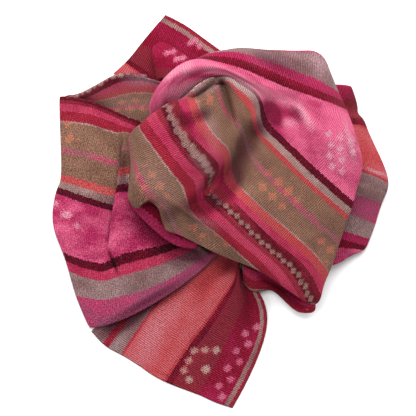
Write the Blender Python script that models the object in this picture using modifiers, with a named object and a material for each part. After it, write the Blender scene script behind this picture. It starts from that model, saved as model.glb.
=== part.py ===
"""A long woven scarf, dropped in a loose heap on a flat surface.

The cloth is cut 0.71 m wide and 1.80 m long, with its stripes running along its length. One
short end fans out on the left, its two corners show at the far left and at the near side, and
the rest of the length lies gathered on top of itself in the middle and on the right.

Each stretch of cloth that shows is one wall, lofted through its stripe lines. A table row is one
stripe line: how far across the cloth it lies from the middle stripe, then the points that it
passes through. All the tables are in millimetres: x to the right, y away, z up.
"""

from collections import namedtuple
from itertools import product
from math import cos, pi, radians, sin

import bpy
import numpy as np
from mathutils import Vector
from mathutils.bvhtree import BVHTree

MM = 0.001
CLOTH = 1.2
HEAP_CENTRE = (11.3, -3.0)

Fold = namedtuple("Fold", "sides radius reach start_gap end_gap")

# The gathered middle of the scarf, on top of the heap. Its lines run from the pointed fold at
# the near right, over the valley, to the folded edge and the hood at the far left.
MiddleLine = namedtuple(
    "MiddleLine",
    "across tip shoulder panel slope valley rise front crest edge tuck under end",
)
MIDDLE = [
    MiddleLine(-66, (-38, -20, 43), (-42, -11, 46), (-46, -1, 50), (-56, 5, 53), (-65, 6, 50),
               (-70, 11, 47), (-71, 28, 47), (-72, 44, 47), (-74, 57, 46), (-73, 62, 40),
               (-64, 59, 38), (-56, 56, 38)),
    MiddleLine(-52, (-21, -27, 42), (-26, -19, 46), (-32, -7, 51), (-40, 5, 57), (-49, 15, 62),
               (-56, 25, 65), (-64, 38, 64), (-70, 50, 58), (-72, 65, 54), (-71, 69, 46),
               (-62, 66, 43), (-53, 62, 42)),
    MiddleLine(-40, (16, -45, 42), (8, -34, 46), (-7, -16, 53), (-23, -3, 59), (-31, 8, 61),
               (-38, 21, 67), (-50, 37, 71), (-61, 55, 69), (-67, 70, 63), (-67, 74, 55),
               (-58, 70, 50), (-49, 66, 48)),
    MiddleLine(-30, (51, -60, 42), (34, -45, 50), (9, -23, 58), (-9, -9, 62), (-17, 3, 59),
               (-21, 18, 67), (-34, 36, 76), (-52, 60, 76), (-62, 74, 69), (-62, 78, 61),
               (-54, 74, 56), (-45, 69, 54)),
    MiddleLine(0, (99, -89, 26), (84, -60, 42), (54, -33, 56), (20, 0, 66), (1, 18, 58),
               (4, 33, 70), (-12, 51, 81), (-27, 72, 85), (-37, 92, 82), (-38, 96, 73),
               (-30, 91, 66), (-20, 84, 62)),
    MiddleLine(16, (107, -75, 29), (92, -51, 44), (60, -24, 58), (28, 6, 66), (11, 25, 59),
               (12, 42, 73), (-3, 60, 83), (-17, 80, 87), (-22, 97, 85), (-23, 101, 76),
               (-15, 95, 68), (-7, 87, 63)),
    MiddleLine(30, (112, -61, 32), (98, -43, 45), (66, -15, 60), (37, 11, 66), (22, 31, 61),
               (19, 51, 74), (5, 67, 85), (-6, 86, 89), (-12, 100, 87), (-12, 104, 78),
               (-3, 97, 70), (4, 89, 65)),
    MiddleLine(52, (121, -35, 38), (102, -20, 50), (72, 8, 63), (47, 34, 68), (35, 53, 65),
               (30, 71, 75), (17, 84, 86), (9, 98, 90), (5, 112, 91), (4, 115, 83),
               (5, 105, 75), (7, 94, 68)),
    MiddleLine(68, (127, -16, 43), (108, 1, 55), (80, 26, 66), (54, 51, 71), (43, 66, 70),
               (38, 79, 76), (30, 91, 79), (20, 103, 75), (13, 115, 70), (2, 112, 66),
               (-8, 102, 60), (-7, 90, 55)),
    MiddleLine(77, (130, -7, 46), (112, 8, 57), (86, 31, 67), (63, 56, 73), (51, 69, 74),
               (47, 82, 79), (40, 97, 83), (27, 109, 80), (13, 117, 73), (-2, 112, 66),
               (-15, 101, 59), (-15, 87, 53)),
    MiddleLine(89, (134, 3, 48), (115, 19, 59), (90, 44, 69), (70, 65, 75), (59, 78, 77),
               (54, 90, 78), (45, 105, 80), (29, 117, 80), (13, 123, 75), (-5, 117, 67),
               (-22, 104, 58), (-25, 87, 49)),
    MiddleLine(106, (139, 22, 50), (123, 36, 61), (101, 56, 70), (80, 75, 75), (68, 87, 73),
               (58, 98, 72), (43, 112, 78), (22, 124, 83), (-4, 127, 84), (-27, 116, 79),
               (-42, 98, 71), (-39, 80, 50)),
    MiddleLine(124, (143, 46, 50), (131, 59, 61), (111, 76, 70), (91, 91, 75), (76, 101, 73),
               (60, 108, 75), (40, 118, 82), (13, 130, 88), (-14, 132, 88), (-37, 118, 84),
               (-51, 97, 71), (-46, 78, 49)),
    MiddleLine(142, (131, 87, 48), (121, 92, 60), (106, 98, 69), (90, 104, 74), (73, 110, 76),
               (56, 117, 76), (35, 126, 78), (10, 134, 79), (-16, 137, 76), (-40, 121, 71),
               (-54, 96, 57), (-49, 77, 44)),
    MiddleLine(157, (124, 103, 46), (114, 108, 58), (101, 114, 66), (86, 120, 71), (70, 127, 74),
               (52, 134, 75), (31, 141, 74), (6, 143, 70), (-18, 138, 61), (-43, 120, 54),
               (-56, 94, 46), (-51, 76, 40)),
    MiddleLine(178, (113, 128, 42), (108, 138, 46), (98, 145, 48), (84, 147, 52), (68, 148, 55),
               (51, 149, 57), (31, 149, 57), (7, 147, 52), (-18, 140, 44), (-43, 121, 38),
               (-57, 93, 36), (-52, 75, 35)),
]

# The short end of the scarf, front face: it fans out on the left, with a soft tuck, from the
# fold at the middle stripe down to the fold over the near corner.
FrontLine = namedtuple("FrontLine", "across hem outer inner hollow pleat crown hip hidden")
FRONT = [
    FrontLine(-4, (-139, 103, 12), (-122, 101, 21), (-104, 96, 27), (-88, 89, 30), (-77, 84, 32),
              (-66, 80, 32), (-55, 76, 29), (-45, 70, 25)),
    FrontLine(-21, (-139, 91, 9), (-122, 90, 19), (-104, 86, 26), (-88, 80, 29), (-78, 76, 31),
              (-67, 72, 31), (-56, 67, 28), (-46, 61, 25)),
    FrontLine(-52, (-138, 59, 7), (-122, 56, 16), (-101, 51, 23), (-80, 47, 22), (-80, 58, 30),
              (-70, 57, 31), (-58, 52, 28), (-46, 46, 25)),
    FrontLine(-77, (-138, 27, 6), (-123, 23, 15), (-103, 17, 22), (-80, 13, 20), (-84, 29, 29),
              (-74, 34, 31), (-60, 33, 28), (-46, 29, 25)),
    FrontLine(-89, (-141, 17, 5), (-125, 11, 14), (-106, 5, 21), (-83, 1, 19), (-86, 15, 28),
              (-76, 19, 30), (-61, 18, 28), (-46, 14, 25)),
    FrontLine(-118, (-145, -12, 5), (-129, -16, 13), (-110, -20, 19), (-90, -22, 18),
              (-91, -15, 25), (-79, -8, 27), (-61, -9, 26), (-43, -13, 24)),
    FrontLine(-148, (-134, -47, 5), (-122, -52, 11), (-108, -56, 15), (-98, -57, 15),
              (-91, -54, 18), (-74, -48, 20), (-46, -41, 21), (-14, -31, 21)),
    FrontLine(-178, (-121, -83, 5), (-110, -86, 10), (-100, -87, 13), (-91, -86, 14),
              (-82, -84, 15), (-61, -78, 16), (-32, -65, 19), (0, -42, 21)),
    FrontLine(-196, (-108, -110, 3.8), (-99, -110, 7), (-90, -107, 9.8), (-80, -103, 12),
              (-69, -98, 13), (-49, -87, 15), (-20, -68, 19), (9, -43, 21)),
]

# The back face of the same end, seen in the lens between the two layers on the left.
BackLine = namedtuple("BackLine", "across corner outer ridge far hidden inner")
BACK = [
    BackLine(2, (-137, 102.5, 8), (-121, 104, 16), (-98, 116, 25), (-80, 123, 30), (-55, 121, 32),
             (-36, 115, 31)),
    BackLine(14, (-134, 103.5, 8), (-114, 102.5, 13), (-95, 109, 20), (-76, 115.5, 24),
             (-54, 115, 27), (-37, 109, 27)),
    BackLine(27, (-131, 102, 6), (-109, 100.5, 12), (-92, 103.5, 16), (-74, 108, 19),
             (-54, 108, 22), (-38, 103, 23)),
    BackLine(45, (-126, 98, 5), (-104, 96, 9), (-89, 97, 13), (-72, 100, 15), (-54, 99, 18),
             (-40, 95, 19)),
    BackLine(62, (-120, 92, 4), (-100, 90, 8), (-86, 90, 11), (-70, 91, 13), (-55, 90, 16),
             (-43, 87, 17)),
    BackLine(78, (-113, 83, 3), (-95, 79, 6), (-82, 77, 8), (-68, 77, 11), (-55, 76, 13),
             (-44, 74, 14)),
]

# The far corner of the short end, flat on the surface behind the heap.
CornerLine = namedtuple("CornerLine", "across hem outer inner far hidden")
FAR_CORNER = [
    CornerLine(355, (-40, 182, 1), (-21, 172, 2), (-3, 159, 5), (12, 148, 10), (25, 138, 15)),
    CornerLine(344, (-48, 173, 1), (-28, 163, 2), (-10, 150, 6), (4, 140, 11), (17, 130, 16)),
    CornerLine(320, (-63, 155, 1), (-43, 146, 3), (-26, 134, 7), (-12, 124, 12), (0, 116, 16)),
    CornerLine(293, (-76, 139, 1), (-60, 128, 3), (-46, 116, 7), (-32, 107, 11), (-20, 99, 14)),
    CornerLine(262, (-89, 127, 1), (-76, 116, 3), (-62, 105, 6), (-48, 96, 9), (-36, 88, 12)),
]

# A second layer of the far corner, doubled back over the first.
DoubledLine = namedtuple("DoubledLine", "across side outer inner hidden")
DOUBLED = [
    DoubledLine(346, (-51, 151, 12), (-42, 155, 14), (-26, 146, 17), (-8, 134, 22)),
    DoubledLine(337, (-51, 144, 16), (-38, 146, 21), (-23, 138, 25), (-6, 126, 29)),
    DoubledLine(325, (-49, 134, 18), (-36, 135, 25), (-20, 128, 30), (-4, 117, 33)),
    DoubledLine(306, (-47, 121, 18), (-34, 122, 26), (-18, 115, 31), (-2, 105, 34)),
]

# The near corner of the short end, flat on the surface, with a crease beside its hem.
TailLine = namedtuple("TailLine", "across hem outer middle inner far hidden")
TAIL = [
    TailLine(-355, (22, -188, 1), (38, -158, 1), (52, -122, 3), (54, -97, 5), (47, -79, 5),
             (36, -63, 6)),
    TailLine(-344, (12, -185, 1), (29, -154, 1), (44, -120, 2), (46, -96, 3), (40, -78, 4),
             (32, -61, 6)),
    TailLine(-332, (2, -181, 1), (19, -149, 2), (34, -115, 4), (39, -92, 4), (34, -74, 6),
             (30, -57, 9)),
    TailLine(-320, (-9, -176, 1), (10, -143, 3), (25, -111, 8), (33, -88, 12), (30, -71, 15),
             (29, -54, 16)),
    TailLine(-288, (-38, -162, 1), (-19, -131, 5), (-1, -106, 11), (13, -84, 15), (21, -67, 16.5),
             (25, -49, 17)),
    TailLine(-264, (-59, -150, 1), (-39, -120, 4), (-20, -92, 10), (-4, -72, 14), (10, -57, 15),
             (19, -44, 16)),
    TailLine(-243, (-80, -139, 1), (-60, -109, 4), (-41, -82, 8), (-22, -61, 11), (-5, -47, 13),
             (9, -36, 14)),
    TailLine(-222, (-95, -130, 1), (-77, -104, 3), (-60, -82, 6), (-42, -62, 8), (-24, -49, 10),
             (-8, -38, 12)),
    TailLine(-205, (-106, -117, 1), (-93, -97, 3), (-76, -76, 5), (-58, -57, 7), (-40, -45, 9),
             (-23, -36, 11)),
]

# The layer that comes back under the middle from its pointed fold at the near right.
ReturnLine = namedtuple("ReturnLine", "across tip outer inner rim far hidden")
RETURN = [
    ReturnLine(-33, (96, -98, 14), (84, -97, 10), (70, -85, 9), (56, -76, 9), (42, -76, 8.6),
               (33, -68, 9.2)),
    ReturnLine(-18, (99, -91, 17), (85, -86, 17), (69, -74, 17), (54, -66, 17), (42, -64, 18),
               (33, -59, 19)),
    ReturnLine(-4, (94, -80, 20), (81, -74, 22), (66, -63, 22), (52, -56, 22), (42, -53, 22),
               (33, -50, 22)),
]

# The layer under the arch at the near left of the middle.
RollLine = namedtuple("RollLine", "across side outer inner far hidden")
ROLL = [
    RollLine(157, (-71, 3, 36), (-62, -7, 35), (-45, -23, 33), (-28, -34, 32), (-12, -37, 31)),
    RollLine(150, (-66, 9, 38), (-55, 1, 38), (-38, -13, 36), (-22, -24, 35), (-7, -31, 34)),
    RollLine(139, (-57, 17, 40), (-46, 9, 40), (-30, -4, 38), (-15, -14, 37), (-1, -22, 36)),
]

# The rest of the length on the right, low under the middle.
RightLine = namedtuple("RightLine", "across outer brow inner hidden")
RIGHT = [
    RightLine(132, (140, -42, 9), (131, -46, 13), (118, -52, 16), (101, -49, 19)),
    RightLine(148, (147, -38, 7), (135, -36, 15), (121, -33, 20), (104, -27, 23)),
    RightLine(160, (151, -30, 6), (139, -27, 16), (124, -22, 22), (107, -16, 26)),
    RightLine(178, (157, -14, 6), (145, -9, 17), (130, -3, 24), (113, 4, 28)),
    RightLine(204, (163, 5, 6), (151, 9, 17), (136, 14, 26), (118, 21, 30)),
    RightLine(240, (167, 25, 6), (156, 31, 18), (140, 37, 27), (121, 43, 31)),
    RightLine(262, (160, 47, 5), (151, 52, 17), (138, 57, 26), (119, 62, 31)),
    RightLine(286, (147, 72, 5), (141, 74, 15), (131, 76, 23), (115, 79, 29)),
    RightLine(312, (140, 92, 4), (135, 94, 13), (126, 96, 20), (111, 98, 26)),
    RightLine(335, (133, 112, 4), (127, 113, 11), (118, 113, 17), (105, 112, 23)),
]


# The hidden layers under the heap. Angles turn from +X towards +Y, round the heap's centre.
FOLD_SMOOTHING = 3
CORE_RAYS = 72
CORE_GAP = 0.95
CORE_STEP = 0.25
CORE_PROBE = 1.0
CORE_LEAST = 3.0
Reach = namedtuple("Reach", "angle reach")
REACH = [
    Reach(0, 132), Reach(20, 138), Reach(40, 142), Reach(52, 148), Reach(65, 150), Reach(90, 142),
    Reach(110, 130), Reach(130, 116), Reach(150, 110), Reach(180, 118), Reach(205, 104),
    Reach(225, 60), Reach(250, 38), Reach(275, 42), Reach(300, 62), Reach(320, 84), Reach(340, 112),
]
Layer = namedtuple("Layer", "height inset")
LAYERS = [
    Layer(0, 6), Layer(3, 2), Layer(7, 2), Layer(10, 7), Layer(14, 4), Layer(18, 5), Layer(21, 10),
    Layer(26, 7), Layer(30, 8), Layer(33, 14),
]
DOME_ANGLES = (6, 14, 24, 36, 50, 65, 79)
DOME_RISE = 26.0


def control_net(lines):
    """The lines' points as an array of rows and stations, x, y, z and the distance across."""
    return np.array([[(*point, line[0]) for point in line[1:]] for line in lines], float)


def knots_along(net):
    """Spline knots for the rows of a net, from the mean spacing of its points."""
    gaps = np.linalg.norm(np.diff(net[..., :3], axis=0), axis=2).mean(axis=1)
    return np.concatenate([[0.0], np.cumsum(np.sqrt(gaps))])


def spline(values, knots, places):
    """A natural cubic spline through the rows of values, read at the given places."""
    count = len(knots)
    step = np.diff(knots)
    shape = (-1,) + (1,) * (values.ndim - 1)
    slope = np.diff(values, axis=0) / step.reshape(shape)
    system, target = np.eye(count), np.zeros_like(values)
    for i in range(1, count - 1):
        system[i, i - 1 : i + 2] = step[i - 1], 2 * (step[i - 1] + step[i]), step[i]
        target[i] = 6 * (slope[i] - slope[i - 1])
    bend = np.linalg.solve(system, target.reshape(count, -1)).reshape(values.shape)
    i = np.clip(np.searchsorted(knots, places) - 1, 0, count - 2)
    left = (places - knots[i]).reshape(shape)
    right = (knots[i + 1] - places).reshape(shape)
    width = step[i].reshape(shape)
    return (
        (bend[i] * right**3 + bend[i + 1] * left**3) / (6 * width)
        + (values[i] / width - bend[i] * width / 6) * right
        + (values[i + 1] / width - bend[i + 1] * width / 6) * left
    )


def lofted(net, rows, stations):
    """The net's surface as a grid of rows by stations."""
    knots = knots_along(net)
    grid = spline(net, knots, np.linspace(0, knots[-1], rows))
    grid = grid.swapaxes(0, 1)
    knots = knots_along(grid)
    grid = spline(grid, knots, np.linspace(0, knots[-1], stations))
    return grid.swapaxes(0, 1)


def cloth_material(name, colour):
    """A plain matt cloth in one colour."""
    material = bpy.data.materials.new(name)
    material.use_nodes = True
    shader = material.node_tree.nodes["Principled BSDF"]
    shader.inputs["Base Color"].default_value = (*colour, 1.0)
    shader.inputs["Roughness"].default_value = 0.9
    return material


def node_object(name, points, faces, colour):
    """A mesh object of the heap, from points in millimetres round the heap's centre."""
    mesh = bpy.data.meshes.new(name)
    offset = np.array([*HEAP_CENTRE, 0.0])
    mesh.from_pydata(((points - offset) * MM).tolist(), [], faces)
    mesh.materials.append(cloth_material(name + "_cloth", colour))
    mesh.polygons.foreach_set("use_smooth", [True] * len(mesh.polygons))
    made = bpy.data.objects.new(name, mesh)
    heap.objects.link(made)
    return made


def grid_faces(rows, columns, closed=False):
    """Quads over a grid of points, joined round from the last column to the first if closed."""
    faces = []
    for i in range(rows - 1):
        here, beyond = i * columns, (i + 1) * columns
        for j in range(columns if closed else columns - 1):
            after = (j + 1) % columns
            faces.append((here + j, here + after, beyond + after, beyond + j))
    return faces


def border(rows, stations, sides):
    """Indices along the named sides of a grid, in order, each with its inner neighbour."""
    def at(i, j):
        return i * stations + j

    runs = {
        "last_row": [(at(rows - 1, j), at(rows - 2, j)) for j in reversed(range(stations))],
        "first_station": [(at(i, 0), at(i, 1)) for i in reversed(range(rows))],
        "first_row": [(at(0, j), at(1, j)) for j in range(stations)],
        "last_station": [(at(i, stations - 1), at(i, stations - 2)) for i in range(rows)],
    }
    chain = {}
    for side in sides:
        for edge, inner in runs[side]:
            chain.setdefault(edge, []).append(inner)
    return list(chain.items())


def turned_under(points, faces, grid, fold):
    """Turns the named sides under: half a round, then a flat reach below the cloth."""
    chain = border(*grid, fold.sides)
    chain = chain[fold.start_gap : len(chain) - fold.end_gap]
    edge = points[[e for e, _ in chain]]
    out = np.array([points[e] - points[inner].mean(axis=0) for e, inner in chain])
    room = np.linalg.norm(out[:, :3], axis=1)[:, None]
    out /= room
    for _ in range(FOLD_SMOOTHING):
        out[1:-1] = (out[:-2] + 2 * out[1:-1] + out[2:]) / 4
    out /= np.linalg.norm(out[:, :3], axis=1)[:, None]
    along = np.gradient(edge[:, :3], axis=0)
    down = np.cross(out[:, :3], along)
    down /= np.linalg.norm(down, axis=1)[:, None]
    down *= -np.sign(down[:, 2].sum())
    count = len(chain)
    radius = fold.radius
    inset = np.minimum(radius, 0.6 * room)
    points = points.copy()
    points[[e for e, _ in chain]] -= out * inset
    edge = edge - out * inset
    before = [e for e, _ in chain]
    for turn, back in ((60, 0), (120, 0), (180, 0), (180, fold.reach)):
        ring = edge + out * (radius * sin(radians(turn)) - back)
        ring[:, :3] += down * radius * (1 - cos(radians(turn)))
        ring[:, 3] = edge[:, 3] + out[:, 3] * (radius * radians(turn) + back)
        here = list(range(len(points), len(points) + count))
        points = np.concatenate([points, ring])
        faces = faces + [
            (before[k], here[k], here[k + 1], before[k + 1]) for k in range(count - 1)
        ]
        before = here
    return points, faces


def sheet(name, lines, fold, grid, colour):
    """One stretch of cloth: its lines lofted, its folded sides turned under, and its wall."""
    points = lofted(control_net(lines), *grid).reshape(-1, 4)
    faces = grid_faces(*grid)
    if fold:
        points, faces = turned_under(points, faces, grid, fold)
    points[:, 2] = np.maximum(points[:, 2], CLOTH / 2)
    made = node_object(name, points[:, :3], faces, colour)
    wall = made.modifiers.new("wall", "SOLIDIFY")
    wall.thickness = CLOTH * MM
    wall.offset = 0.0
    roof.append((points[:, :3], faces))
    return made


def sheets_tree():
    """All the sheets made so far, for measuring distances in millimetres."""
    points, faces = [], []
    for sheet_points, sheet_faces in roof:
        faces += [tuple(i + len(points) for i in face) for face in sheet_faces]
        points += [Vector(p) for p in sheet_points]
    return BVHTree.FromPolygons(points, faces)


def folded_layers(name, colour):
    """The hidden layers as one rounded solid, stepped at its sides and clear of every sheet.

    Its points stand on lines that run out level from the axis, and above the brow on lines
    that fan out from the top of the axis. Each is drawn in until all faces are clear.
    """
    tree = sheets_tree()
    turns = np.arange(CORE_RAYS) * 2 * pi / CORE_RAYS
    reach = np.interp(np.degrees(turns), [r.angle for r in REACH], [r.reach for r in REACH], period=360)
    level = [(layer.height, 0.0, reach - layer.inset) for layer in LAYERS]
    brow, base = level[-1][0], level[-1][2]
    for lift in np.radians(DOME_ANGLES):
        level.append((brow, lift, 1 / np.sqrt((cos(lift) / base) ** 2 + (sin(lift) / DOME_RISE) ** 2)))
    start = np.array([[(*HEAP_CENTRE, height)] * CORE_RAYS for height, _, _ in level])
    way = np.array([
        [(cos(turn) * cos(lift), sin(turn) * cos(lift), sin(lift)) for turn in turns]
        for _, lift, _ in level
    ])
    length = np.array([radius for _, _, radius in level])
    for k, j in np.ndindex(length.shape):
        hit = tree.ray_cast(Vector(start[k, j]), Vector(way[k, j]), length[k, j])[3]
        length[k, j] = length[k, j] if hit is None else max(hit - CORE_GAP, 4.0)
    checked = set(np.ndindex(len(level) - 1, CORE_RAYS))
    while checked:
        points = start + way * length[..., None]
        close = set()
        for k, j in checked:
            after = (j + 1) % CORE_RAYS
            corners = points[[k, k + 1, k, k + 1], [j, j, after, after]]
            centre = corners.mean(axis=0)
            span = np.linalg.norm(corners - centre, axis=1).max() + CORE_GAP
            if tree.find_nearest(Vector(centre), span)[3] is None:
                continue
            shares = np.linspace(0, 1, int(span / CORE_PROBE) + 2)
            for s, t in product(shares, shares):
                low, high, low_next, high_next = corners
                if s >= t:
                    spot = low + s * (high - low) + t * (high_next - high)
                else:
                    spot = low + t * (low_next - low) + s * (high_next - low_next)
                if tree.find_nearest(Vector(spot), CORE_GAP)[3] is not None:
                    close |= {(k, j), (k + 1, j), (k, after), (k + 1, after)}
                    break
        checked = set()
        for k, j in close:
            if length[k, j] > CORE_LEAST:
                length[k, j] -= CORE_STEP
                checked |= {(a, b % CORE_RAYS) for a in (k - 1, k) for b in (j - 1, j)}
        checked = {(k, j) for k, j in checked if 0 <= k < len(level) - 1}
    points = start + way * length[..., None]
    rows = len(level)
    top = points[-1, :, 2].mean() + 0.5
    corners = [*points.reshape(-1, 3), (*HEAP_CENTRE, top), (*HEAP_CENTRE, 0.0)]
    faces = []
    for a, b, c, d in grid_faces(rows, CORE_RAYS, closed=True):
        faces += [(a, b, c), (a, c, d)]
    peak, foot = rows * CORE_RAYS, rows * CORE_RAYS + 1
    last = (rows - 1) * CORE_RAYS
    for j in range(CORE_RAYS):
        after = (j + 1) % CORE_RAYS
        faces.append((last + j, last + after, peak))
        faces.append((after, j, foot))
    return node_object(name, np.array(corners), faces, colour)


for old in list(bpy.data.objects):
    bpy.data.objects.remove(old, do_unlink=True)
heap = bpy.data.collections.new("woven_scarf")
bpy.context.scene.collection.children.link(heap)
roof = []

PINK = (0.62, 0.16, 0.2)
MAROON = (0.16, 0.03, 0.04)
OLIVE = (0.2, 0.15, 0.06)
CRIMSON = (0.42, 0.04, 0.07)
MAUVE = (0.5, 0.17, 0.19)
TAUPE = (0.3, 0.2, 0.16)

AROUND = ("last_row", "first_station", "first_row")
sheet("middle", MIDDLE, Fold(AROUND, 2.2, 4, 6, 13), (30, 40), CRIMSON)
sheet("end_front", FRONT, Fold(AROUND, 1.5, 3, 1, 3), (20, 20), MAUVE)
sheet("end_back", BACK, Fold(("first_row",), 1.8, 4, 1, 3), (10, 14), PINK)
sheet("far_corner", FAR_CORNER, None, (10, 8), TAUPE)
sheet("doubled_corner", DOUBLED, Fold(AROUND[1:], 1.6, 2, 0, 1), (9, 8), MAUVE)
sheet("near_corner", TAIL, None, (22, 14), CRIMSON)
sheet("return_layer", RETURN, Fold(AROUND[1:], 1.5, 2, 0, 0), (8, 12), MAROON)
sheet("roll_layer", ROLL, Fold(("first_row",), 1.8, 4, 0, 0), (7, 12), PINK)
sheet("right_flap", RIGHT, Fold(AROUND, 1.4, 4, 2, 2), (22, 8), OLIVE)
folded_layers("folded_layers", MAROON)
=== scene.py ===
from collections import namedtuple
from math import cos, pi, radians, sin

import bmesh
import bpy
import numpy as np
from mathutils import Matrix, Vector, noise


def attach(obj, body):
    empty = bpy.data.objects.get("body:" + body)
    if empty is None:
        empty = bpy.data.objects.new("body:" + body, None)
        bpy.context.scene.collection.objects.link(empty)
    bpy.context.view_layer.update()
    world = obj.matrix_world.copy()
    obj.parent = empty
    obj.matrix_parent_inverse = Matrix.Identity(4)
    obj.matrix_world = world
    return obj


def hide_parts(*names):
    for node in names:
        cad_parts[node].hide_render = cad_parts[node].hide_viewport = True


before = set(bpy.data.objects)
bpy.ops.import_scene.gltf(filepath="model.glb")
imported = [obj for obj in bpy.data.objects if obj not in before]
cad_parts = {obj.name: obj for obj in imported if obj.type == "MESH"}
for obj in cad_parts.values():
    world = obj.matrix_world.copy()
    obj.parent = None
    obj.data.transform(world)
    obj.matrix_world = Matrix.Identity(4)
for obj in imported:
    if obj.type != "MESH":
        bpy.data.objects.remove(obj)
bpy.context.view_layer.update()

# The camera stands straight above the heap, as in the photograph: photo right is +X and photo
# up is +Y. Its long lens keeps the raised folds from looking larger than the flat corners.
# The photograph's middle lies a little left of and beyond the middle of the heap.
PHOTO_MIDDLE = Vector((-0.0113, 0.003, 0.0))
PHOTO_WIDTH = 0.392
CAMERA_HEIGHT = 6.0
camera_data = bpy.data.cameras.new("camera")
camera_data.sensor_width = 36.0
camera_data.lens = camera_data.sensor_width * CAMERA_HEIGHT / PHOTO_WIDTH
camera = bpy.data.objects.new("camera", camera_data)
camera.location = PHOTO_MIDDLE + Vector((0, 0, CAMERA_HEIGHT))
bpy.context.scene.collection.objects.link(camera)
bpy.context.scene.camera = camera

# Soft studio light: a wide lamp beyond the heap, a weaker one from the left, and white light
# from all round that keeps the folds open.
Lamp = namedtuple("Lamp", "name place size watts")
LAMPS = [
    Lamp("far_softbox", (0.1, 1.3, 1.6), 2.4, 93.0),
    Lamp("left_softbox", (-1.3, -0.1, 1.1), 0.8, 9.0),
]
for lamp in LAMPS:
    light = bpy.data.lights.new(lamp.name, "AREA")
    light.shape = "DISK"
    light.size = lamp.size
    light.energy = lamp.watts
    stand = bpy.data.objects.new(lamp.name, light)
    stand.location = lamp.place
    stand.rotation_euler = (-Vector(lamp.place)).to_track_quat("-Z", "Y").to_euler()
    bpy.context.scene.collection.objects.link(stand)

ROOM_LIGHT = 0.6
world = bpy.data.worlds.new("white_room")
world.use_nodes = True
world.node_tree.nodes["Background"].inputs["Color"].default_value = (1.0, 1.0, 1.0, 1.0)
world.node_tree.nodes["Background"].inputs["Strength"].default_value = ROOM_LIGHT
bpy.context.scene.world = world
bpy.context.scene.view_settings.view_transform = "Standard"

# The scarf lies on plain white paper with a matt face, wide enough to fill the picture. The
# paper isn't a piece of the scarf.
FLOOR_SIDE = 6.0
PAPER_WHITE = (0.95, 0.95, 0.95, 1.0)
bpy.ops.object.select_all(action="DESELECT")
bpy.ops.mesh.primitive_plane_add(size=FLOOR_SIDE)
floor = bpy.context.object
floor.name = "floor"
paper = bpy.data.materials.new("white_paper")
paper.use_nodes = True
paper_shader = paper.node_tree.nodes["Principled BSDF"]
paper_shader.inputs["Base Color"].default_value = PAPER_WHITE
paper_shader.inputs["Roughness"].default_value = 0.9
floor.data.materials.append(paper)

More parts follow.
